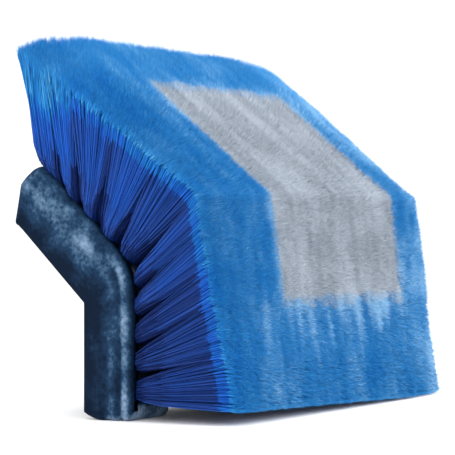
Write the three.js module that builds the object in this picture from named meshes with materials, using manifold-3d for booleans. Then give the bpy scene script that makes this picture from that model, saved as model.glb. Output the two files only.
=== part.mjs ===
// Bi-level wash brush head, in millimetres, +Z up.
// The head stands on its lower long side. +X is the way the lower level's bristles point and
// +Y runs along the head. Its profile is drawn in the X-Z plane and swept along Y.
import * as THREE from 'three';
import { mergeVertices } from 'three/addons/utils/BufferGeometryUtils.js';
import Module from 'manifold-3d';

const wasm = await Module();
wasm.setup();

// ---- driving dimensions ----
const HEAD_LENGTH = 254;          // over the bumper, along Y
const BEND = THREE.MathUtils.degToRad(45);
const LOW_LEG = 61.5;             // back face of each leg, from the bend to the outer edge
const HIGH_LEG = 72.5;
const HEAD_THICKNESS = 31;        // bumper, across the lower leg
const BLOCK_THICKNESS = 29;       // block, across the lower leg, so the bumper stands 2 mm proud
const HIGH_SCALE = 1.12;          // the upper leg is this much thicker than the lower one
const CORNER_RADIUS = 12;         // back corner of the bumper's profile on the lower leg
const RIM_RADIUS = 5;             // its front corner on the lower leg
const TOP_RADIUS = 10;            // its front corner on the upper leg
const END_LEAN = 12;              // the upper leg's end face leans back by this much,
const LEAN_DEPTH = 16;            // from this depth to the back face
const FRONT_BEND_RADIUS = 16;
const BUMPER_WALL = 8;            // bumper, from its outer face to the block
const GAP = 0.3;                  // running gap between neighbouring pieces

const CAP_LENGTH = 43;            // thick end cap of the bumper, along Y
const CAP_STEP = 5.5;             // the long sides between the caps are this much thinner
const END_BEVEL = 2;              // softened edge of the two short ends

const TONGUE = { from: 12.2, to: 15.8, reach: 3 };     // across the leg, and into the block
const BEAD_GROOVES = [{ from: 20.4, to: 22.6, depth: 1.4 }, { from: 11, to: 13, depth: 0.8 }];

const ROWS = 10;
const COLUMNS = 18;
const ROW_PITCH = 14.2;
const COLUMN_PITCH = 13.1;
const RING_ROWS = 2;              // blue rows along each long side
const NEAR_RING = 4;              // blue columns at the -Y end
const FAR_RING = 2;               // blue columns at the +Y end

// Trim profile: lower edge at either end of the head, crease, top edge.
const TIP_LOW_NEAR = new THREE.Vector2(98.5, 8);
const TIP_LOW_FAR = new THREE.Vector2(98.5, 1);
const TIP_CREASE = new THREE.Vector2(82, 121.5);
const TIP_TOP = new THREE.Vector2(-22, 206);
const GREY_FROM = 0.255;          // where the grey rows start and end on the trim profile, from 0 at
const GREY_TO = 0.86;             // the lower edge to 1 at the top edge; the crease is at 0.5
const NEAR_LEAN = [11, 16, 27];   // degrees of lean of the outermost columns: lower edge, crease, top
const FAR_LEAN = [26, 15, 27];
const FLARE_START = 0.76;         // part of the half length that has no lean

const HOLE = { radius: 3.6, depth: 11, sides: 8 };
const STEM_RADIUS = 3.1;
const STEM_CLEAR = 6;             // straight part of a stem outside its hole
const MERGE_LEVEL = 0.4;          // where the tufts of a row meet, as a part of their length
const ROW_GAP = 0.022;            // gap between rows, as a part of the row pitch

const SOCKET = { boss: 18, bore: 9.6, reach: 32, sunk: 14, depth: 34, sides: 32 };
const WEB = { thickness: 4, reach: 26, along: 34 };

// ---- colours ----
const BLUE = '#1f5fb4';
const GREY = '#a9b1bc';
const RUBBER = '#1b2c40';
const PLASTIC = '#16202c';

// ---- profile: x across, y up; mapped to X and Z of the head ----
const LOW_NORMAL = new THREE.Vector2(1, 0);
const LOW_ALONG = new THREE.Vector2(0, 1);
const HIGH_NORMAL = new THREE.Vector2(Math.cos(BEND), Math.sin(BEND));
const HIGH_ALONG = new THREE.Vector2(-Math.sin(BEND), Math.cos(BEND));
const BACK_BEND = new THREE.Vector2(0, LOW_LEG);

// Where a layer of unit depth turns from one leg to the other, measured along each of them.
const LOW_MITRE = (HIGH_SCALE - Math.cos(BEND)) / Math.sin(BEND);
const HIGH_MITRE = (1 - HIGH_SCALE * Math.cos(BEND)) / Math.sin(BEND);

function lowPoint(along, across) {
  return new THREE.Vector2().addScaledVector(LOW_ALONG, along).addScaledVector(LOW_NORMAL, across);
}

function highPoint(along, across) {
  const depth = across * HIGH_SCALE;
  return BACK_BEND.clone().addScaledVector(HIGH_ALONG, along).addScaledVector(HIGH_NORMAL, depth);
}

// The upper leg's end face: square in front, leaning back behind.
function highEnd(across, inset) {
  return highPoint(HIGH_LEG - inset - END_LEAN * Math.max(1 - across / LEAN_DEPTH, 0), across);
}

// Corner points of the bent section between two depths, its ends pulled in by inset.
function bentSection(from, to, inset) {
  const turn = from < LEAN_DEPTH && LEAN_DEPTH < to ? [highEnd(LEAN_DEPTH, inset)] : [];
  return [
    lowPoint(inset, from),
    lowPoint(inset, to),
    lowPoint(LOW_LEG + to * LOW_MITRE, to),
    highEnd(to, inset),
    ...turn,
    highEnd(from, inset),
    lowPoint(LOW_LEG + from * LOW_MITRE, from),
  ];
}

// A closed outline with a rounded corner of its own radius at each point.
function roundedShape(points, radii) {
  const shape = new THREE.Shape();
  points.forEach((point, i) => {
    const before = points[(i + points.length - 1) % points.length];
    const after = points[(i + 1) % points.length];
    const start = point.clone().add(before.clone().sub(point).setLength(radii[i]));
    const end = point.clone().add(after.clone().sub(point).setLength(radii[i]));
    if (i === 0) shape.moveTo(start.x, start.y);
    else shape.lineTo(start.x, start.y);
    if (radii[i] > 0) shape.quadraticCurveTo(point.x, point.y, end.x, end.y);
  });
  return shape;
}

// ---- solids ----
function solid(geometry) {
  const bare = geometry.index ? geometry.toNonIndexed() : geometry.clone();
  bare.deleteAttribute('normal');
  bare.deleteAttribute('uv');
  const merged = mergeVertices(bare, 1e-4);
  return new wasm.Manifold(new wasm.Mesh({
    numProp: 3,
    vertProperties: new Float32Array(merged.attributes.position.array),
    triVerts: new Uint32Array(merged.index.array),
  }));
}

function toGeometry(manifold) {
  const mesh = manifold.getMesh();
  const geometry = new THREE.BufferGeometry();
  geometry.setAttribute('position', new THREE.BufferAttribute(mesh.vertProperties, 3));
  geometry.setIndex(new THREE.BufferAttribute(mesh.triVerts, 1));
  return geometry;
}

// Sweep an X-Z outline along Y, centred on the head's middle.
function alongHead(shape, length, bevel = 0) {
  const geometry = new THREE.ExtrudeGeometry(shape, {
    depth: length - 2 * bevel,
    curveSegments: 5,
    bevelEnabled: bevel > 0,
    bevelThickness: bevel,
    bevelSize: bevel,
    bevelOffset: -bevel,
    bevelSegments: 2,
  });
  geometry.translate(0, 0, -(length - 2 * bevel) / 2);
  geometry.rotateX(Math.PI / 2);
  return solid(geometry);
}

function bentSlab(from, to, inset) {
  const corners = bentSection(from, to, inset);
  return alongHead(roundedShape(corners, corners.map(() => 0)), HEAD_LENGTH - 2 * inset);
}

// A ring round the head's edge: between two depths, from one inset to a deeper one.
function edgeRing(from, to, outer, inner) {
  return bentSlab(from, to, outer).subtract(bentSlab(from - 1, to + 1, inner));
}

// A cylinder from a point, along a direction in the X-Z plane.
function cylinder(radius, start, direction, length, sides) {
  const geometry = new THREE.CylinderGeometry(radius, radius, length, sides);
  geometry.translate(0, length / 2, 0);
  const up = new THREE.Vector3(0, 1, 0);
  geometry.applyQuaternion(new THREE.Quaternion().setFromUnitVectors(up, direction));
  geometry.translate(start.x, start.y, start.z);
  return solid(geometry);
}

// A closed body through rings of points, all with the same count, each end closed by a fan.
function loft(rings) {
  const count = rings[0].length;
  const centre = ring => ring.reduce((sum, p) => sum.add(p), new THREE.Vector3()).divideScalar(count);
  const points = [...rings.flat(), centre(rings[0]), centre(rings[rings.length - 1])];
  const first = points.length - 2;
  const last = points.length - 1;
  const faces = [];
  for (let k = 0; k < count; k++) {
    const next = (k + 1) % count;
    for (let r = 0; r + 1 < rings.length; r++) {
      const a = r * count + k;
      const b = r * count + next;
      faces.push(a, b, b + count, a, b + count, a + count);
    }
    const top = (rings.length - 1) * count;
    faces.push(first, next, k, last, top + k, top + next);
  }
  const geometry = new THREE.BufferGeometry();
  geometry.setAttribute('position', new THREE.Float32BufferAttribute(points.flatMap(p => [p.x, p.y, p.z]), 3));
  geometry.setIndex(faces);
  return geometry;
}

function loftSolid(rings) {
  const body = solid(loft(rings));
  return body.volume() > 0 ? body : solid(loft([...rings].reverse()));
}

// ---- the bristle field ----
// row runs from 0 at the lower edge to ROWS, column from 0 at the -Y end to COLUMNS, and level
// from 0 at the block's front face to 1 at the tips.
const FRONT_LOW = LOW_LEG + BLOCK_THICKNESS * LOW_MITRE;
const FRONT_HIGH = HIGH_LEG + BLOCK_THICKNESS * HIGH_MITRE;
const FIELD_START = (FRONT_LOW + FRONT_HIGH - ROWS * ROW_PITCH) / 2;

function rootProfile(row) {
  const along = FIELD_START + row * ROW_PITCH;
  if (along < FRONT_LOW) return lowPoint(along, BLOCK_THICKNESS);
  return highPoint(along - FRONT_LOW - BLOCK_THICKNESS * HIGH_MITRE, BLOCK_THICKNESS);
}

// Rows of the two rings spread over their own share of the trim profile, and so do the grey ones.
function trimPart(row) {
  const middle = ROWS / 2;
  const marks = [[0, 0], [RING_ROWS, GREY_FROM], [middle, 0.5], [ROWS - RING_ROWS, GREY_TO], [ROWS, 1]];
  const next = marks.findIndex(([at]) => at >= row);
  const [toRow, toPart] = marks[Math.max(next, 1)];
  const [fromRow, fromPart] = marks[Math.max(next, 1) - 1];
  return fromPart + (toPart - fromPart) * (row - fromRow) / (toRow - fromRow);
}

function tipProfile(row, column) {
  const part = trimPart(row);
  if (part > 0.5) return TIP_CREASE.clone().lerp(TIP_TOP, part * 2 - 1);
  const edge = TIP_LOW_NEAR.clone().lerp(TIP_LOW_FAR, column / COLUMNS);
  return edge.lerp(TIP_CREASE, part * 2);
}

// Sideways lean of the bristles, in radians: only the columns near the two ends splay outwards.
function lean(row, column) {
  const side = column / COLUMNS * 2 - 1;
  const over = Math.max(Math.abs(side) - FLARE_START, 0) / (1 - FLARE_START);
  const [low, crease, top] = side < 0 ? NEAR_LEAN : FAR_LEAN;
  const part = trimPart(row) * 2;
  const most = part < 1 ? low + (crease - low) * part : crease + (top - crease) * (part - 1);
  return Math.sign(side) * over * THREE.MathUtils.degToRad(most);
}

function fieldPoint(row, column, level) {
  const root = rootProfile(row);
  const reach = tipProfile(row, column).sub(root);
  const turn = lean(row, column);
  const side = (column - COLUMNS / 2) * COLUMN_PITCH;
  return new THREE.Vector3(
    root.x + reach.x * Math.cos(turn) * level,
    side + reach.length() * Math.sin(turn) * level,
    root.y + reach.y * Math.cos(turn) * level,
  );
}

function tuftAxis(row, column) {
  const root = fieldPoint(row + 0.5, column + 0.5, 0);
  const tip = fieldPoint(row + 0.5, column + 0.5, 1);
  return { root, direction: tip.sub(root).normalize() };
}

// One tuft's stem: round in its hole, then widening to its square place in the row.
function tuftStem(row, column) {
  const { root, direction } = tuftAxis(row, column);
  const level = MERGE_LEVEL + 0.04;
  const reach = 0.46;
  const corner = (u, v) => fieldPoint(row + 0.5 + u * reach, column + 0.5 + v * reach, level);
  const square = [[1, 0], [1, 1], [0, 1], [-1, 1], [-1, 0], [-1, -1], [0, -1], [1, -1]];
  const top = square.map(([u, v]) => corner(u, v));
  const rowWay = corner(1, 0).sub(corner(-1, 0)).normalize();
  const across = rowWay.addScaledVector(direction, -rowWay.dot(direction)).normalize();
  const along = corner(0, 1).sub(corner(0, -1)).normalize();
  along.addScaledVector(direction, -along.dot(direction));
  along.addScaledVector(across, -along.dot(across)).normalize();
  const ring = distance => top.map((_, k) => {
    const angle = k * Math.PI / 4;
    return root.clone().addScaledVector(direction, distance)
      .addScaledVector(across, STEM_RADIUS * Math.cos(angle))
      .addScaledVector(along, STEM_RADIUS * Math.sin(angle));
  });
  return loftSolid([ring(GAP - HOLE.depth), ring(STEM_CLEAR), top]);
}

// The part of a row above the level where its tufts meet.
function rowSlab(row, fromColumn, toColumn) {
  const low = row + ROW_GAP;
  const high = row + 1 - ROW_GAP;
  const rings = [];
  for (let column = fromColumn; column <= toColumn; column++) {
    const inside = (column === fromColumn ? ROW_GAP : 0) - (column === toColumn ? ROW_GAP : 0);
    const v = column + inside;
    rings.push([
      fieldPoint(low, v, MERGE_LEVEL),
      fieldPoint(low, v, 1),
      fieldPoint(high, v, 1),
      fieldPoint(high, v, MERGE_LEVEL),
    ]);
  }
  return loftSolid(rings);
}

function tuftRow(row, fromColumn, toColumn) {
  let body = rowSlab(row, fromColumn, toColumn);
  for (let column = fromColumn; column < toColumn; column++) {
    body = body.add(tuftStem(row, column));
  }
  return body;
}

// ---- block and bumper ----
// The socket points backwards, half way between the backs of the two legs.
const BACKWARDS = LOW_NORMAL.clone().add(HIGH_NORMAL).normalize().negate();
const SOCKET_AXIS = new THREE.Vector3(BACKWARDS.x, 0, BACKWARDS.y);

function tuftHole(row, column) {
  const { root, direction } = tuftAxis(row, column);
  const bottom = root.clone().addScaledVector(direction, -HOLE.depth);
  return cylinder(HOLE.radius, bottom, direction, HOLE.depth * 2, HOLE.sides);
}

function socketPoint(distance) {
  return new THREE.Vector3(BACK_BEND.x, 0, BACK_BEND.y).addScaledVector(SOCKET_AXIS, distance);
}

// Stiffening web between the socket boss and one leg, in the middle of the head's length.
function socketWeb() {
  const tip = socketPoint(WEB.reach);
  const outline = new THREE.Shape([
    highPoint(WEB.along, 1),
    new THREE.Vector2(tip.x, tip.z),
    lowPoint(LOW_LEG - WEB.along, 1),
    lowPoint(LOW_LEG, 5),
  ]);
  return alongHead(outline, WEB.thickness);
}

function block() {
  const inset = BUMPER_WALL + GAP;
  let body = bentSlab(0, BLOCK_THICKNESS, inset);
  body = body.subtract(edgeRing(TONGUE.from - GAP, TONGUE.to + GAP, inset - 1, inset + TONGUE.reach));
  body = body.add(cylinder(SOCKET.boss, socketPoint(-SOCKET.sunk), SOCKET_AXIS,
    SOCKET.sunk + SOCKET.reach, SOCKET.sides));
  body = body.add(socketWeb());
  for (let row = 0; row < ROWS; row++) {
    for (let column = 0; column < COLUMNS; column++) body = body.subtract(tuftHole(row, column));
  }
  return body.subtract(cylinder(SOCKET.bore, socketPoint(SOCKET.reach - SOCKET.depth), SOCKET_AXIS,
    SOCKET.depth + 1, SOCKET.sides));
}

// Takes the long sides back between the two end caps.
function longSideRecess() {
  const corners = bentSection(-20, HEAD_THICKNESS + 20, -20);
  const outer = alongHead(new THREE.Shape(corners), HEAD_LENGTH - 2 * CAP_LENGTH);
  const keep = bentSection(-21, HEAD_THICKNESS + 21, CAP_STEP);
  return outer.subtract(alongHead(new THREE.Shape(keep), HEAD_LENGTH));
}

function bumper() {
  const corners = bentSection(0, HEAD_THICKNESS, 0);
  const radii = [CORNER_RADIUS, RIM_RADIUS, FRONT_BEND_RADIUS, TOP_RADIUS, RIM_RADIUS, 0, 0];
  let body = alongHead(roundedShape(corners, radii), HEAD_LENGTH, END_BEVEL);
  body = body.subtract(longSideRecess());
  body = body.subtract(bentSlab(-1, HEAD_THICKNESS + 1, BUMPER_WALL));
  for (const { from, to, depth } of BEAD_GROOVES) {
    body = body.subtract(edgeRing(from, to, -1, depth));
  }
  return body.add(edgeRing(TONGUE.from, TONGUE.to, BUMPER_WALL - 1, BUMPER_WALL + TONGUE.reach));
}

// ---- assembly ----
const head = new THREE.Group();

function place(name, body, color, roughness, metalness = 0) {
  const mesh = new THREE.Mesh(toGeometry(body), new THREE.MeshStandardMaterial({ color, roughness, metalness }));
  mesh.name = name;
  head.add(mesh);
}

place('block', block(), PLASTIC, 0.55);
place('bumper', bumper(), RUBBER, 0.7);

for (let row = 0; row < ROWS; row++) {
  const label = `row_${String(row + 1).padStart(2, '0')}`;
  if (row < RING_ROWS || row >= ROWS - RING_ROWS) {
    place(`${label}_blue_tufts`, tuftRow(row, 0, COLUMNS), BLUE, 0.6);
  } else {
    place(`${label}_near_blue_tufts`, tuftRow(row, 0, NEAR_RING), BLUE, 0.6);
    place(`${label}_grey_tufts`, tuftRow(row, NEAR_RING, COLUMNS - FAR_RING), GREY, 0.7);
    place(`${label}_far_blue_tufts`, tuftRow(row, COLUMNS - FAR_RING, COLUMNS), BLUE, 0.6);
  }
}

// The origin is under the middle of the whole head, on the plane it stands on.
const reach = new THREE.Box3().setFromObject(head);
head.position.set(-(reach.min.x + reach.max.x) / 2, -(reach.min.y + reach.max.y) / 2, -reach.min.z);

export default head;
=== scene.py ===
"""Looks for the bi-level wash brush head: filaments, rubber bumper, block, stage, lights, camera."""
import math

import bmesh
import bpy
import numpy as np
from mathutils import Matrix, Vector


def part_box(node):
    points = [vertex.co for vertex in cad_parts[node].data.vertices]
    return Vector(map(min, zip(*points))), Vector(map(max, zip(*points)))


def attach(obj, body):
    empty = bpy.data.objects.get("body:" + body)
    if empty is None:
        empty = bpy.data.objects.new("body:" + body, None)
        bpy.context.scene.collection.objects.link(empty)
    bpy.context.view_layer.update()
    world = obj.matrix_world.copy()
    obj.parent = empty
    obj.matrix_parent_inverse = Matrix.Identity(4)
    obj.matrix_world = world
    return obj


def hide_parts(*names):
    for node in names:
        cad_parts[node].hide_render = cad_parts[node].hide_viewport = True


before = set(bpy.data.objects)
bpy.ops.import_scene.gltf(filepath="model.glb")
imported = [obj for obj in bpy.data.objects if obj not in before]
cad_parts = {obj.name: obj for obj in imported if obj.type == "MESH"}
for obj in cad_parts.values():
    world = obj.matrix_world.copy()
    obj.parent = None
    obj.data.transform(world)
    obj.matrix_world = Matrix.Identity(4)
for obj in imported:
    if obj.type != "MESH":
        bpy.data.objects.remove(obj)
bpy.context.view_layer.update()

MM = 0.001
rng = np.random.default_rng(41)

# ---- driving sizes, in metres: places come from the CAD parts in model.glb, the profile's sizes repeat the CAD's ----
BUMPER_LOW, BUMPER_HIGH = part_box("bumper")
HEAD_LENGTH = BUMPER_HIGH.y - BUMPER_LOW.y
TIP_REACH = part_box("row_01_blue_tufts")[1].x
TIP_TOP_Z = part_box("row_10_blue_tufts")[1].z

BEND = math.radians(45)
LOW_LEG = 61.5 * MM
HIGH_LEG = 72.5 * MM
HIGH_SCALE = 1.12
HEAD_THICKNESS = 31 * MM
BLOCK_THICKNESS = 29 * MM
BUMPER_WALL = 8 * MM
CAP_LENGTH = 43 * MM
CAP_STEP = 5.5 * MM
BACK_X = BUMPER_HIGH.x - HEAD_THICKNESS
LOW_MITRE = (HIGH_SCALE - math.cos(BEND)) / math.sin(BEND)
HIGH_MITRE = (1 - HIGH_SCALE * math.cos(BEND)) / math.sin(BEND)

ROWS = 10
COLUMNS = 18
ROW_PITCH = 14.2 * MM
COLUMN_PITCH = 13.1 * MM
RING_ROWS = 2                       # blue rows along each long side
NEAR_RING = 4                       # blue columns at the -Y end
FAR_RING = 2                        # blue columns at the +Y end
GREY_FROM = 0.255                   # where the grey rows start and end on the trim profile
GREY_TO = 0.86
TIP_LOW_NEAR = np.array([TIP_REACH, 8 * MM])
TIP_LOW_FAR = np.array([TIP_REACH, 1 * MM])
TIP_CREASE = np.array([TIP_REACH - 16.5 * MM, 121.5 * MM])
TIP_TOP = np.array([TIP_REACH - 120.5 * MM, TIP_TOP_Z + 1.5 * MM])
NEAR_LEAN = [11, 16, 27]            # degrees: lower edge, crease, top edge
FAR_LEAN = [26, 15, 27]
FLARE_START = 0.76                  # part of the half length that has no lean
END_LEAN = 12 * MM                  # the bumper's upper end face leans back by this much,
LEAN_DEPTH = 16 * MM                # from this depth to the back face


def low_point(along, across):
    """A point of the lower leg, from its distance along the leg and its depth from the back face."""
    return np.stack([BACK_X + across, along + 0 * across], -1)


def high_point(along, across):
    """The same for the upper leg, which is thicker by HIGH_SCALE."""
    depth = across * HIGH_SCALE
    x = BACK_X - math.sin(BEND) * along + math.cos(BEND) * depth
    z = LOW_LEG + math.cos(BEND) * along + math.sin(BEND) * depth
    return np.stack([x, z], -1)


# ---- the bristle field: row 0..ROWS from below, column 0..COLUMNS from -Y, level 0 root..1 tip ----
FRONT_LOW = LOW_LEG + BLOCK_THICKNESS * LOW_MITRE
FRONT_HIGH = HIGH_LEG + BLOCK_THICKNESS * HIGH_MITRE
FIELD_START = (FRONT_LOW + FRONT_HIGH - ROWS * ROW_PITCH) / 2


def root_profile(row):
    """Where a row leaves the block's front face."""
    along = FIELD_START + row * ROW_PITCH
    across = np.full_like(along, BLOCK_THICKNESS)
    low = low_point(along, across)
    high = high_point(along - FRONT_LOW - BLOCK_THICKNESS * HIGH_MITRE, across)
    return np.where((along < FRONT_LOW)[..., None], low, high)


def trim_part(row):
    """A row's place on the trim profile: 0 at the lower edge, 0.5 at the crease, 1 at the top."""
    rows = [0, RING_ROWS, ROWS / 2, ROWS - RING_ROWS, ROWS]
    return np.interp(row, rows, [0, GREY_FROM, 0.5, GREY_TO, 1])


def tip_profile(row, column):
    """Where the tips of a row end."""
    part = trim_part(row)[..., None]
    edge = TIP_LOW_NEAR + (TIP_LOW_FAR - TIP_LOW_NEAR) * (column / COLUMNS)[..., None]
    low = edge + (TIP_CREASE - edge) * part * 2
    high = TIP_CREASE + (TIP_TOP - TIP_CREASE) * (part * 2 - 1)
    return np.where(part <= 0.5, low, high)


def lean(row, column):
    """Sideways lean of a tuft: only the columns near the two ends splay outwards."""
    side = column / COLUMNS * 2 - 1
    over = np.clip((np.abs(side) - FLARE_START) / (1 - FLARE_START), 0, 1.6)
    near = np.interp(trim_part(row), [0, 0.5, 1], NEAR_LEAN)
    far = np.interp(trim_part(row), [0, 0.5, 1], FAR_LEAN)
    return np.radians(np.where(side < 0, -near, far)) * over


def field_point(row, column, level):
    root = root_profile(row)
    reach = tip_profile(row, column) - root
    turn = lean(row, column)
    length = np.linalg.norm(reach, axis=-1)
    side = (column - COLUMNS / 2) * COLUMN_PITCH
    x = root[..., 0] + reach[..., 0] * np.cos(turn) * level
    y = side + length * np.sin(turn) * level
    z = root[..., 1] + reach[..., 1] * np.cos(turn) * level
    return np.stack([x, y, z], -1)


# ---- small helpers ----
def smooth_noise(a, b, scale, seed):
    """Smooth noise from -1 to 1 over two coordinates, as a sum of waves in seeded directions."""
    waves = np.random.default_rng(seed)
    total = np.zeros(np.broadcast(a, b).shape)
    for _ in range(7):
        angle = waves.uniform(0, 2 * math.pi)
        rate = waves.uniform(0.6, 1.5) / scale
        phase = waves.uniform(0, 2 * math.pi)
        total += np.sin(2 * math.pi * rate * (a * math.cos(angle) + b * math.sin(angle)) + phase)
    return total / 3.2


def unit(v):
    return v / np.linalg.norm(v, axis=-1, keepdims=True)


def mesh_object(name, vertices, faces, materials, face_material=None):
    """A smooth mesh object from arrays; faces are rows of three or four vertex numbers."""
    faces = np.asarray(faces, np.int32)
    corners = faces.shape[1]
    mesh = bpy.data.meshes.new(name)
    mesh.vertices.add(len(vertices))
    mesh.vertices.foreach_set("co", np.asarray(vertices, np.float32).ravel())
    mesh.loops.add(faces.size)
    mesh.loops.foreach_set("vertex_index", faces.ravel())
    mesh.polygons.add(len(faces))
    mesh.polygons.foreach_set("loop_start", np.arange(len(faces), dtype=np.int32) * corners)
    for material in materials:
        mesh.materials.append(material)
    if face_material is not None:
        mesh.polygons.foreach_set("material_index", np.asarray(face_material, np.int32))
    mesh.update(calc_edges=True)
    mesh.shade_smooth()
    piece = bpy.data.objects.new(name, mesh)
    bpy.context.scene.collection.objects.link(piece)
    return piece


# ---- materials ----
def new_material(name, color, roughness):
    material = bpy.data.materials.new(name)
    material.use_nodes = True
    shader = material.node_tree.nodes["Principled BSDF"]
    shader.inputs["Base Color"].default_value = (*color, 1)
    shader.inputs["Roughness"].default_value = roughness
    return material, material.node_tree, shader


def noise_node(tree, scale, detail, roughness=0.6):
    place = tree.nodes.new("ShaderNodeTexCoord")
    noise = tree.nodes.new("ShaderNodeTexNoise")
    noise.inputs["Scale"].default_value = scale
    noise.inputs["Detail"].default_value = detail
    noise.inputs["Roughness"].default_value = roughness
    tree.links.new(place.outputs["Object"], noise.inputs["Vector"])
    return noise


def ramp_node(tree, source, stops):
    ramp = tree.nodes.new("ShaderNodeValToRGB")
    elements = ramp.color_ramp.elements
    while len(elements) < len(stops):
        elements.new(0.5)
    for element, (place, color) in zip(elements, stops):
        element.position = place
        element.color = (*color, 1)
    tree.links.new(source, ramp.inputs["Fac"])
    return ramp


def bump_node(tree, source, strength, distance, under=None):
    bump = tree.nodes.new("ShaderNodeBump")
    bump.inputs["Strength"].default_value = strength
    bump.inputs["Distance"].default_value = distance
    tree.links.new(source, bump.inputs["Height"])
    if under is not None:
        tree.links.new(under.outputs["Normal"], bump.inputs["Normal"])
    return bump


SHADES = 14                         # materials for each bristle colour, from root to tip
BLUE_STOPS = [
    (0.0, (0.003, 0.014, 0.090)),
    (0.15, (0.011, 0.045, 0.230)),
    (0.3, (0.010, 0.072, 0.370)),
    (0.45, (0.010, 0.100, 0.490)),
    (0.6, (0.009, 0.160, 0.490)),
    (0.74, (0.018, 0.212, 0.510)),
    (0.88, (0.060, 0.290, 0.580)),
    (1.0, (0.300, 0.540, 0.760)),
]
GREY_STOPS = [
    (0.0, (0.030, 0.045, 0.080)),
    (0.5, (0.170, 0.200, 0.250)),
    (0.74, (0.275, 0.315, 0.370)),
    (0.88, (0.365, 0.410, 0.470)),
    (1.0, (0.520, 0.570, 0.640)),
]


def fibre_shades(name, stops):
    """Materials from root to tip. Clouds of stronger and weaker shine vary each one."""
    places = [place for place, _ in stops]
    shades = []
    for k in range(SHADES):
        level = k / (SHADES - 1)
        color = [float(np.interp(level, places, [c[i] for _, c in stops])) for i in range(3)]
        material, tree, shader = new_material(f"{name}_{k:02d}", color, 0.55)
        clouds = noise_node(tree, 60, 4)
        shine = tree.nodes.new("ShaderNodeMapRange")
        shine.inputs["To Min"].default_value = 0.02
        shine.inputs["To Max"].default_value = 0.22
        tree.links.new(clouds.outputs["Fac"], shine.inputs["Value"])
        tree.links.new(shine.outputs["Result"], shader.inputs["Specular IOR Level"])
        shades.append(material)
    return shades


def rubber_material():
    """Blue-black rubber with painted light: painted highlights with a scuff-like mottle on its crests,
    painted shade towards its back. That painted light comes in an attribute written by bumper().
    """
    material, tree, shader = new_material("bumper_rubber", (0.01, 0.02, 0.035), 0.7)
    shader.inputs["Specular IOR Level"].default_value = 0.06
    painted_light = tree.nodes.new("ShaderNodeAttribute")
    painted_light.attribute_name = "painted_light"
    mottle = noise_node(tree, 420, 5, 0.65)
    patches = noise_node(tree, 70, 4)
    # painted highlight: a mottle scaled by the painted light of the section
    painted_highlight = tree.nodes.new("ShaderNodeMath")
    painted_highlight.operation = "MULTIPLY"
    tree.links.new(mottle.outputs["Fac"], painted_highlight.inputs[0])
    tree.links.new(patches.outputs["Fac"], painted_highlight.inputs[1])
    painted_brightness = tree.nodes.new("ShaderNodeMath")
    painted_brightness.operation = "MULTIPLY_ADD"
    painted_brightness.inputs[2].default_value = -0.055
    tree.links.new(painted_highlight.outputs["Value"], painted_brightness.inputs[0])
    tree.links.new(painted_light.outputs["Fac"], painted_brightness.inputs[1])
    # from the darkest painted shade to the palest painted highlight
    ramp = ramp_node(tree, painted_brightness.outputs["Value"], [
        (0.0, (0.001, 0.006, 0.018)),
        (0.09, (0.008, 0.028, 0.066)),
        (0.16, (0.038, 0.080, 0.140)),
        (0.36, (0.150, 0.215, 0.310)),
    ])
    tree.links.new(ramp.outputs["Color"], shader.inputs["Base Color"])
    grain = noise_node(tree, 1500, 3)
    dents = bump_node(tree, mottle.outputs["Fac"], 0.5, 0.5 * MM)
    fine = bump_node(tree, grain.outputs["Fac"], 0.3, 0.12 * MM, dents)
    tree.links.new(fine.outputs["Normal"], shader.inputs["Normal"])
    return material


def plastic_material():
    """Blue-black moulded plastic with a fine grain."""
    material, tree, shader = new_material("block_plastic", (0.012, 0.018, 0.028), 0.5)
    tone = noise_node(tree, 45, 4)
    ramp = ramp_node(tree, tone.outputs["Fac"], [
        (0.3, (0.006, 0.012, 0.024)),
        (0.7, (0.014, 0.024, 0.042)),
    ])
    tree.links.new(ramp.outputs["Color"], shader.inputs["Base Color"])
    grain = noise_node(tree, 1400, 2)
    bump = bump_node(tree, grain.outputs["Fac"], 0.4, 0.12 * MM)
    tree.links.new(bump.outputs["Normal"], shader.inputs["Normal"])
    return material


# ---- filaments ----
FILAMENTS_PER_TUFT = 370
EDGE_FILAMENTS = 600                # in the tufts along the edges, which spread wider
END_FILAMENTS = 850                 # in the tufts of the near end
CORNER_FILAMENTS = 1100             # in its top tuft
# at each of the seven points of a tube, from root to tip
FILAMENT_RADIUS = np.interp(np.arange(7), [0, 2, 5, 6], [0.32, 0.38, 0.29, 0.24]) * MM
TUBE_END = 0.93                     # level at which a filament is wholly split into flags
FLAGS = 8
FLAG_SPREAD = 1.5 * MM
FLAG_STAGGER = 1.5 * MM             # flags end unevenly by up to this
COMB = 3.2 * MM                     # flags are combed down towards the lower edge by up to this
WANDER = 0.35 * MM                  # how far a filament bows aside
SCATTER = 1.3247179572              # steps by one over this and over its square fill a square evenly
CELL_SPREAD = 1.14                  # tufts mix a little with their neighbours at the tips
TOP_PUSH = 0.72                     # how far the edge tufts lean out over the rim, in cells
BOTTOM_PUSH = 0.03
END_PUSH = 0.62

# shades run from 0, darkest at the root, to 1, palest at the tip
SEGMENT_SHADES = np.array([0.06, 0.20, 0.34, 0.44, 0.58, 0.72])
SHADOW_DEPTH = [0.1, 0.2, 0.28, 0.12, 0, 0]    # darker by this where a tuft faces the next row
SHADOW_FROM = 0.34                  # that shadow starts here, in cells from the tuft's middle
FLAG_SHADE = 0.80
# where, as a part of a filament's length, each row's deep blue turns to light blue
BLUE_TURN = np.interp(np.arange(ROWS), [0, 6, 7, 8, 9], [0.96, 0.94, 0.90, 0.76, 0.60])


def cell_samples(count):
    """Evenly scattered places in a tuft's cell, each coordinate from -0.5 to 0.5."""
    step = np.arange(count)
    u = (0.5 + step / SCATTER) % 1 - 0.5
    v = (0.5 + step / SCATTER ** 2) % 1 - 0.5
    return u + rng.normal(0, 0.03, count), v + rng.normal(0, 0.03, count)


def disc_place(u, v):
    """The same scatter squeezed into a disc, for the places in a round hole."""
    far = np.maximum(np.abs(u), np.abs(v))
    angle = np.arctan2(v, u)
    return far * np.cos(angle), far * np.sin(angle)


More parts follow.
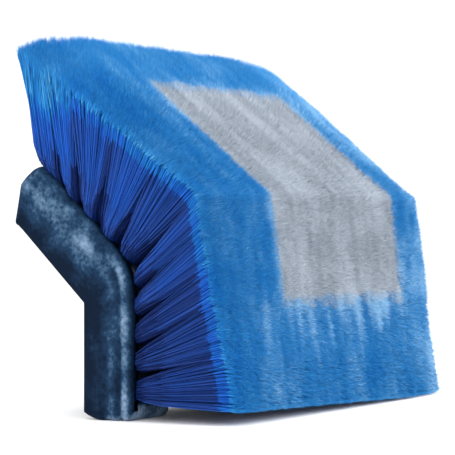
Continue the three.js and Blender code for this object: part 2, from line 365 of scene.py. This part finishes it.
def filament_levels(row, count):
    """Levels of the points along each filament. The colour turns between the last two segments."""
    turn = np.clip(BLUE_TURN[row] + rng.normal(0, 0.045, count), 0.5, TUBE_END - 0.01)
    low = [-0.03, 0.06, 0.18, 0.34] + rng.uniform(-1, 1, (count, 1)) * [0, 0.01, 0.04, 0.05]
    return np.column_stack([low, turn - 0.1, turn, np.full(count, TUBE_END), np.ones(count)])


def tuft_widths(levels, row, column):
    """A tuft's width across and along its row, in cells. Rows part near the roots at the two ends."""
    tip_width = CELL_SPREAD * rng.uniform(0.95, 1.05)
    column_width = np.interp(levels, [0, 0.06, 0.4, 1], [0.48, 0.92, 1.0, tip_width])
    parted = rng.uniform(0.58, 0.74) + 0.3 * (1 < column < COLUMNS - 2) + 0.12 * (row < 3)
    if row in (0, ROWS - 1):
        tip_width = CELL_SPREAD
    widths = [0.44, parted, min(parted + 0.13, 1), 0.98, tip_width]
    return np.interp(levels, [0, 0.06, 0.3, 0.65, 1], widths), column_width


def outward(side):
    """0 at the inner edge of an outermost tuft's cell, 1 at its outer edge."""
    return np.clip(0.5 + side, 0, 1) ** 0.7


def rim_push(levels, u, v, row, column):
    """The outermost tufts lean out over the rim before they bend back: by how many rows and columns."""
    over_rim = np.interp(levels, [0, 0.05, 0.35, 0.7, 1], [0, 1.1, 0.85, 0.4, 0.05])
    over_end = np.interp(levels, [0, 0.08, 0.35, 0.7, 1], [0, 1, 0.4, 0.1, 0])
    rows = outward(u) * (row == ROWS - 1) * TOP_PUSH - outward(-u) * (row == 0) * BOTTOM_PUSH
    columns = (outward(v) * (column == COLUMNS - 1) - outward(-v) * (column == 0)) * END_PUSH
    return rows[:, None] * over_rim, columns[:, None] * over_end


def tuft_paths(row, column, count):
    """For each filament of one tuft: its path, tip, combing, how pale it is, how shadowed it is."""
    u, v = cell_samples(count)
    disc_u, disc_v = disc_place(u, v)
    levels = filament_levels(row, count)
    row_width, column_width = tuft_widths(levels, row, column)
    row_push, column_push = rim_push(levels, u, v, row, column)

    # from a disc at the root to a square in the field, swaying a little as one tuft
    square = np.clip(levels / 0.3, 0, 1)
    sway = levels ** 2
    across = (disc_u[:, None] + (u - disc_u)[:, None] * square) * row_width
    along = (disc_v[:, None] + (v - disc_v)[:, None] * square) * column_width
    row_sway = rng.normal(0, 0.05) * (0 < row < ROWS - 1) * sway
    column_sway = rng.normal(0, 0.06) * sway
    row_at = row + 0.5 + row_sway + across + row_push
    column_at = column + 0.5 + column_sway + along + column_push

    # furrows: tips gather in clumps and stand a little lower between them
    clump = smooth_noise(row_at[:, -1] * 0.35, column_at[:, -1], 2.1, 5)
    column_at = column_at + 0.09 * clump[:, None] * sway
    tip_row, tip_column = row_at[:, -1], column_at[:, -1]
    dip = np.abs(smooth_noise(tip_row * 0.3 + 9, tip_column, 1.7, 8))
    corner = np.clip(tip_row - ROWS + 0.6, 0, 1) * np.clip(0.8 - tip_column, 0, 1.2)
    trim = 1.010 - 0.007 * dip - np.abs(rng.normal(0, 0.005, count)) - 0.035 * corner
    path = field_point(row_at, column_at, levels * trim[:, None])
    bow = np.sin(np.clip(levels, 0, 1) * math.pi)
    path = path + rng.normal(0, WANDER, (count, 1, 3)) * bow[..., None]

    comb = unit(field_point(tip_row - 0.1, tip_column, trim) - path[:, -1])
    comb = comb * np.clip(row_at[:, -1:] * 0.8, 0, 1)
    pale = tip_shade(tip_row, tip_column, dip) + rng.normal(0, 0.032, count) + rng.normal(0, 0.02)
    to_next_row = np.maximum(-u * (row > 0), u * (row < ROWS - 1))
    shadow = rng.uniform(0.6, 1) * np.clip((to_next_row - SHADOW_FROM) / 0.12, 0, 1)
    return path[:, :-1], path[:, -1], comb, pale, shadow


def tip_shade(row, column, dip):
    """How much paler than its row's shade a filament is: random clouds and patches, painted shade in the
    furrows, the grey centre's fringe, and painted light and shade at the ends.
    """
    clouds = 0.045 * smooth_noise(row * 1.3, column, 3.0, 12)
    patches = 0.035 * smooth_noise(row * 0.8, column, 0.9, 14)
    # the dip term is painted shade, darker where the tips stand lower between clumps
    return clouds + patches - 0.03 * dip + grey_fringe(row, column) + end_light_and_shade(row, column)


def end_light_and_shade(row, column):
    """Painted light and shade: deeper blue, a painted shade, towards the near end, at its top and along its
    lower rows; paler, a painted light, at the far end.
    """
    deep = np.exp(-np.clip(column, 0, None) / 2.5) * np.clip((row - 4) / 3, 0, 1)
    dusk = np.clip(0.7 - column, 0, 1) * np.clip((7 - row) / 3, 0, 1)
    return 0.08 * np.clip(column - 16, 0, 1.5) - 0.06 * deep - 0.10 * dusk


def grey_fringe(row, column):
    """Tips beside the edge of the grey centre are paler; below it that runs down in streaks."""
    low, high = RING_ROWS, ROWS - RING_ROWS
    near, far = NEAR_RING, COLUMNS - FAR_RING
    beside = np.maximum(np.maximum(near - column, column - far), row - high)
    below = low - row
    inside = (column > near) & (column < far)
    streak = smooth_noise(row * 0.6, column, 1.1, 21) + smooth_noise(row * 0.4, column, 3.1, 33)
    streak = np.clip(0.6 * streak + 0.25, 0, 1)
    edge = 0.12 * np.exp(-(np.maximum(np.maximum(beside, below), 0) / 0.35) ** 2)
    down = np.exp(-((below - 0.3) / np.where(below > 0.3, 0.8, 0.45)) ** 2)
    return edge + 0.22 * streak * inside * down


def tube_mesh(path, segment_shades):
    """Open three-sided tubes along each path: vertices, triangles, and the shade of each triangle."""
    count, levels = path.shape[:2]
    along = unit(path[:, -1] - path[:, 0])
    side = unit(np.cross(along, np.array([0.3, 1.0, 0.2])))
    up = np.cross(along, side)
    angles = np.arange(3) * 2 * math.pi / 3 + rng.uniform(0, 2 * math.pi, (count, 1))
    radius = FILAMENT_RADIUS * rng.uniform(0.7, 1.1, (count, 1))
    ring = np.cos(angles)[..., None] * side[:, None] + np.sin(angles)[..., None] * up[:, None]
    vertices = path[:, :, None] + radius[:, :, None, None] * ring[:, None]
    base = np.arange(count)[:, None, None] * levels * 3
    pattern = []
    for level in range(levels - 1):
        for k in range(3):
            a, b = level * 3 + k, level * 3 + (k + 1) % 3
            pattern += [(a, b, b + 3), (a, b + 3, a + 3)]
    faces = (np.array(pattern)[None] + base).reshape(-1, 3)
    return vertices.reshape(-1, 3), faces, np.repeat(segment_shades.ravel(), 6)


def flag_mesh(path, tip, comb):
    """The split ends: thin blades that leave each tube along its last segment."""
    count = len(path)
    along = unit(tip - path[:, -2])
    side = unit(np.cross(along, np.array([0.1, 0.4, 1.0])))
    up = np.cross(along, side)
    vertices = []
    for _ in range(FLAGS):
        angle = rng.uniform(0, 2 * math.pi, count)[:, None]
        way = np.cos(angle) * side + np.sin(angle) * up
        point = tip + way * FLAG_SPREAD * np.sqrt(rng.uniform(0.02, 1, count))[:, None]
        point = point - along * rng.uniform(0, FLAG_STAGGER, count)[:, None]
        point = point + comb * rng.uniform(0, COMB, count)[:, None]
        tail = path[:, -2] + (path[:, -1] - path[:, -2]) * rng.uniform(0.1, 0.95, count)[:, None]
        foot = tail + way * FILAMENT_RADIUS[-1] * 0.6
        half = np.cross(along, way) * FILAMENT_RADIUS[-1] * 0.9
        vertices.append(np.stack([foot - half, foot + half, point], 1).reshape(-1, 3))
    faces = np.arange(FLAGS * count * 3).reshape(-1, 3)
    shade = FLAG_SHADE + rng.normal(0, 0.05, FLAGS * count)
    return np.concatenate(vertices), faces, shade


def filament_count(row, column):
    if column == 0:
        return CORNER_FILAMENTS if row == ROWS - 1 else END_FILAMENTS
    edge = column in (1, COLUMNS - 1) or row == ROWS - 1
    return EDGE_FILAMENTS if edge else FILAMENTS_PER_TUFT


def tuft_piece(name, row, first, last, shades):
    """All the filaments of a run of tufts in one row, as one piece."""
    tufts = [tuft_paths(row, column, filament_count(row, column)) for column in range(first, last)]
    path, tip, comb, pale, shadow = (np.concatenate(part) for part in zip(*tufts))

    # the lower rows are darker up to their fifth point
    tone = np.ones(len(SEGMENT_SHADES))
    tone[:4] = np.interp(row, [5, 8], [0.58, 1.0])
    tubes, tube_faces, tube_shades = tube_mesh(path, SEGMENT_SHADES * tone - shadow[:, None] * SHADOW_DEPTH)
    flags, flag_faces, flag_shades = flag_mesh(path, tip, comb)
    vertices = np.concatenate([tubes, flags])
    faces = np.concatenate([tube_faces, flag_faces + len(tubes)])
    own = np.concatenate([np.repeat(pale, len(tube_faces) // len(path)), np.tile(pale, FLAGS)])
    shade = np.concatenate([tube_shades, flag_shades]) + own
    index = np.clip(np.round(shade * (SHADES - 1)), 0, SHADES - 1)
    return mesh_object(name, vertices, faces, shades, index)


def row_runs(row):
    """The pieces of a row: name, first and last column, and the end of the CAD node's name."""
    far = COLUMNS - FAR_RING
    if RING_ROWS <= row < ROWS - RING_ROWS:
        return [("near_blue", 0, NEAR_RING, "near_blue"), ("grey", NEAR_RING, far, "grey"),
                ("far_blue", far, COLUMNS, "far_blue")]
    third = COLUMNS // 3
    return [(f"third_{k + 1}", k * third, (k + 1) * third, "blue") for k in range(3)]


def bristles():
    blue = fibre_shades("blue_fibre", BLUE_STOPS)
    grey = fibre_shades("grey_fibre", GREY_STOPS)
    for row in range(ROWS):
        for part, first, last, node in row_runs(row):
            shades = grey if part == "grey" else blue
            piece = tuft_piece(f"row_{row + 1:02d}_{part}_filaments", row, first, last, shades)
            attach(piece, "root")
            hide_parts(f"row_{row + 1:02d}_{node}_tufts")


# ---- bumper: one section swept round the head's edge ----
def leg_point(along, across):
    """The back-face distance along both legs, and the depth, mapped to the bent profile."""
    share = np.clip(along / LOW_LEG, None, 1)
    low = low_point(share * (LOW_LEG + across * LOW_MITRE), across)
    past = (along - LOW_LEG) / HIGH_LEG
    high = high_point(-across * HIGH_MITRE + past * (HIGH_LEG + across * HIGH_MITRE), across)
    return np.where((along < LOW_LEG)[..., None], low, high)


def soft_leg_point(along, across):
    """The same, with the bend rounded more and more towards the front."""
    window = 13 * MM * np.clip(across / HEAD_THICKNESS, 0, 1) ** 1.5
    total = 0
    steps = np.linspace(-1, 1, 9)
    for step in steps:
        total = total + leg_point(along + window * step, across)
    return total / len(steps)


EDGE_RADIUS = 4 * MM                # corners of the head seen from the front
LEG_LENGTH = LOW_LEG + HIGH_LEG
SIDE_STATIONS = [70, 120, 70, 120]  # steps along each side: the ends and the long sides in turn
CORNER_STATIONS = 6
# one value each for the lower long side, the upper long side and the two ends
BACK_CORNERS = np.array([12, 1.5, 1.5]) * MM
FRONT_CORNERS = np.array([5, 10, 3.5]) * MM
GROOVES = [(23.8 * MM, 1.1 * MM, 1.2 * MM), (16.5 * MM, 1.3 * MM, 0.5 * MM)]    # place, width, depth
# painted highlights along the lower leg's bead and shallow ridge
PAINTED_HIGHLIGHTS = [(27 * MM, 2.4 * MM, 0.85), (19.5 * MM, 3 * MM, 0.3)]                # place, width, strength
END_TAPER = 3.2 * MM                # the two ends draw in by this towards the back


def edge_stations():
    """Round the head's edge: place along the legs, place along Y, and the outward way in those two."""
    half = HEAD_LENGTH / 2 - EDGE_RADIUS
    low, high = EDGE_RADIUS, LEG_LENGTH - EDGE_RADIUS
    corners = [(high, half), (high, -half), (low, -half), (low, half)]
    stations = []
    for k, (along, y) in enumerate(corners):
        before = corners[k - 1]
        turn = k * math.pi / 2
        out = (math.sin(turn), math.cos(turn))
        for step in range(SIDE_STATIONS[k]):
            t = step / SIDE_STATIONS[k]
            place = (before[0] + (along - before[0]) * t, before[1] + (y - before[1]) * t)
            stations.append((*place, *out))
        for step in range(CORNER_STATIONS):
            angle = turn + step / CORNER_STATIONS * math.pi / 2
            stations.append((along, y, math.sin(angle), math.cos(angle)))
    return stations


def end_lean(along, depth):
    """How far the upper end leans back at a depth; it fades out down the upper leg."""
    share = np.clip((along - LOW_LEG - 0.6 * HIGH_LEG) / (0.4 * HIGH_LEG), 0, 1)
    return END_LEAN * np.clip(1 - depth / LEAN_DEPTH, 0, 1) * share


def bumper():
    """From the far end upwards, over the top side, down the near end, and back along the bottom."""
    rings, painted_lights = [], []
    for along, y, out_along, out_y in edge_stations():
        upper = float(np.clip((along - LOW_LEG) / (15 * MM), 0, 1))
        section, painted_light = bumper_section(out_along, cap_share(y), upper)
        out = section[:, 0] + EDGE_RADIUS
        at = along + out * out_along
        profile = soft_leg_point(at - end_lean(at, section[:, 1]), section[:, 1])
        rings.append(np.stack([profile[:, 0], y + out * out_y, profile[:, 1]], -1))
        # the painted light varies a little round the edge
        painted_lights.append(painted_light * (1 + 0.22 * smooth_noise(along + y, 2 * section[:, 1], 22 * MM, 51)))
    rings = np.array(rings)
    count, points = rings.shape[:2]
    faces = []
    for i in range(count):
        j = (i + 1) % count
        for k in range(points):
            n = (k + 1) % points
            faces.append((i * points + k, j * points + k, j * points + n, i * points + n))
    piece = mesh_object("rubber_bumper", rings.reshape(-1, 3), faces, [rubber_material()])
    painted_light = piece.data.attributes.new("painted_light", "FLOAT", "POINT")
    painted_light.data.foreach_set("value", np.concatenate(painted_lights).astype(np.float32))
    fix_normals(piece)
    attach(piece, "root")
    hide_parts("bumper")


def cap_share(y):
    """1 on the thick end caps, 0 between them, with a short slope."""
    edge = HEAD_LENGTH / 2 - CAP_LENGTH
    return float(np.clip((abs(y) - edge) / (1.5 * MM), 0, 1))


def bell(depth, place, width):
    """A smooth bump of height 1 round a place."""
    return np.exp(-((depth - place) / width) ** 2)


def bumper_section(out_along, cap, upper):
    """Closed outline (outward from the cap's face, depth from the back face), and its painted light:
    painted shade near the back, painted highlights on the crests and over the lower side.
    """
    low, high = max(-out_along, 0) ** 2, max(out_along, 0) ** 2
    end = 1 - low - high
    back_radius = np.dot((low, high, end), BACK_CORNERS)
    front_radius = np.dot((low, high, end), FRONT_CORNERS)
    front_start = HEAD_THICKNESS - front_radius
    arc = np.linspace(0, math.pi / 2, 10)
    back = np.stack([back_radius * (np.sin(arc) - 1), back_radius * (1 - np.cos(arc))], -1)
    front = np.stack([front_radius * (np.cos(arc) - 1), front_start + front_radius * np.sin(arc)], -1)
    depth = np.linspace(back_radius, front_start, 44)[1:-1]
    outer = np.concatenate([back, np.stack([0 * depth, depth], -1), front])
    depth = outer[:, 1]
    step = CAP_STEP * (1 - cap) * (low + high)
    narrow = END_TAPER * end * np.clip(1 - depth / (20 * MM), 0, 1) ** 2
    groove = sum(deep * bell(depth, place, width) for place, width, deep in GROOVES)
    inward = narrow + groove * (1 - 0.65 * upper) + step
    outer[:, 0] = np.maximum(outer[:, 0] - inward, -BUMPER_WALL + 0.4 * MM)
    inner = np.array([[-BUMPER_WALL, HEAD_THICKNESS * share] for share in (1, 0.66, 0.33, 0)])

    # painted shade near the back face, painted light over the front of the lower side
    painted_light = 0.16 + 0.14 * np.clip(depth / (14 * MM), 0, 1) + 0.9 * low * (depth > 15 * MM)
    # painted highlights: bands on the lower leg, a broad one mid-depth on the upper leg, stronger on the
    # end faces
    painted_highlight = sum(painted_brightness * bell(depth, place, width) for place, width, painted_brightness in PAINTED_HIGHLIGHTS)
    broad = (0.2 + 0.34 * end) * bell(depth, 20 * MM, 9 * MM)
    painted_light = painted_light + (1 - upper) * painted_highlight + upper * broad
    return np.concatenate([outer, inner]), np.concatenate([painted_light, np.zeros(len(inner))])


def fix_normals(piece):
    work = bmesh.new()
    work.from_mesh(piece.data)
    bmesh.ops.recalc_face_normals(work, faces=work.faces)
    work.to_mesh(piece.data)
    work.free()


# ---- block ----
SOCKET_BORE = 9.6 * MM
SOCKET_REACH = 32 * MM
THREAD_PITCH = 5.08 * MM            # five turns to the inch
THREAD_TURNS = 6
THREAD_HEIGHT = 1.1 * MM
TURN_STEPS = 32


def block(plastic):
    """The CAD block stays, with a better material."""
    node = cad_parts["block"]
    node.data.materials.clear()
    node.data.materials.append(plastic)


def socket_thread(plastic):
    """The screw thread inside the handle socket, which points half way between the legs' backs."""
    axis = unit(np.array([-1 - math.cos(BEND), 0, -math.sin(BEND)]))
    side = np.array([0.0, 1.0, 0.0])
    up = np.cross(axis, side)
    bend = np.array([BACK_X, 0, LOW_LEG])
    foot, top = 1.7 * MM, 0.8 * MM
    section = [(0.2 * MM, -foot), (-THREAD_HEIGHT, -top), (-THREAD_HEIGHT, top), (0.2 * MM, foot)]
    steps = THREAD_TURNS * TURN_STEPS
    vertices, faces = [], []
    for step in range(steps + 1):
        angle = step / TURN_STEPS * 2 * math.pi
        out = math.cos(angle) * side + math.sin(angle) * up
        along = SOCKET_REACH - 1.9 * MM - THREAD_PITCH * step / TURN_STEPS
        for rise, slide in section:
            vertices.append(bend + axis * (along + slide) + out * (SOCKET_BORE + rise))
    for step in range(steps):
        for k in range(4):
            a, b = step * 4 + k, step * 4 + (k + 1) % 4
            faces.append((a, b, b + 4, a + 4))
    last = steps * 4
    faces += [(0, 1, 2, 3), (last + 3, last + 2, last + 1, last)]
    piece = mesh_object("socket_thread", np.array(vertices), faces, [plastic])
    fix_normals(piece)
    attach(piece, "root")


# ---- stage, lights, camera ----
def stage():
    """A round white bowl: flat under the head, curving up all round."""
    flat, bend, top = 2.4, 0.8, 1.5
    profile = [(0.1 * MM, 0.0), (flat, 0.0)]
    for k in range(1, 9):
        angle = k / 8 * math.pi / 2
        profile.append((flat + bend * math.sin(angle), bend - bend * math.cos(angle)))
    profile.append((flat + bend, top))
    sides = 64
    vertices = []
    for radius, z in profile:
        for k in range(sides):
            angle = 2 * math.pi * k / sides
            vertices.append((radius * math.cos(angle), radius * math.sin(angle), z))
    faces = []
    for ring in range(len(profile) - 1):
        for k in range(sides):
            a, b = ring * sides + k, ring * sides + (k + 1) % sides
            faces.append((a, b, b + sides, a + sides))
    material, _, _ = new_material("stage_white", (0.92, 0.92, 0.92), 0.9)
    floor = mesh_object("floor", np.array(vertices), faces, [material])


def area_light(name, place, aim, size, power):
    data = bpy.data.lights.new(name, "AREA")
    data.shape = "RECTANGLE"
    data.size, data.size_y = size
    data.energy = power
    lamp = bpy.data.objects.new(name, data)
    lamp.location = place
    lamp.rotation_euler = (Vector(aim) - Vector(place)).to_track_quat("-Z", "Y").to_euler()
    bpy.context.scene.collection.objects.link(lamp)


CAMERA_AZIMUTH = math.radians(28)
CAMERA_DISTANCE = 1.304
CAMERA_LENS = 178.7
SENSOR = 36
AIM = Vector((-0.0111, 0.0078, 0.1015))


def lights():
    """A white world and three large soft lamps."""
    world = bpy.data.worlds.new("studio")
    world.use_nodes = True
    world.node_tree.nodes["Background"].inputs["Color"].default_value = (1, 1, 1, 1)
    world.node_tree.nodes["Background"].inputs["Strength"].default_value = 1.0
    bpy.context.scene.world = world
    centre = (0, 0, 0.1)
    area_light("key", (1.7, 0.1, 1.0), centre, (1.2, 1.2), 30)
    area_light("top", (-0.2, -0.3, 1.8), centre, (1.4, 1.4), 18)
    area_light("fill", (0.7, -1.6, 0.5), centre, (1.2, 1.2), 24)


def camera():
    """Level with the head, looking along it from its near end."""
    data = bpy.data.cameras.new("camera")
    data.lens = CAMERA_LENS
    data.sensor_width = SENSOR
    data.clip_end = 30
    eye = bpy.data.objects.new("camera", data)
    back = Vector((math.sin(CAMERA_AZIMUTH), -math.cos(CAMERA_AZIMUTH), 0))
    eye.location = AIM + back * CAMERA_DISTANCE
    eye.rotation_euler = (-back).to_track_quat("-Z", "Y").to_euler()
    bpy.context.scene.collection.objects.link(eye)
    bpy.context.scene.camera = eye
    bpy.context.scene.view_settings.view_transform = "Standard"


plastic = plastic_material()
block(plastic)
socket_thread(plastic)
bumper()
bristles()
stage()
lights()
camera()
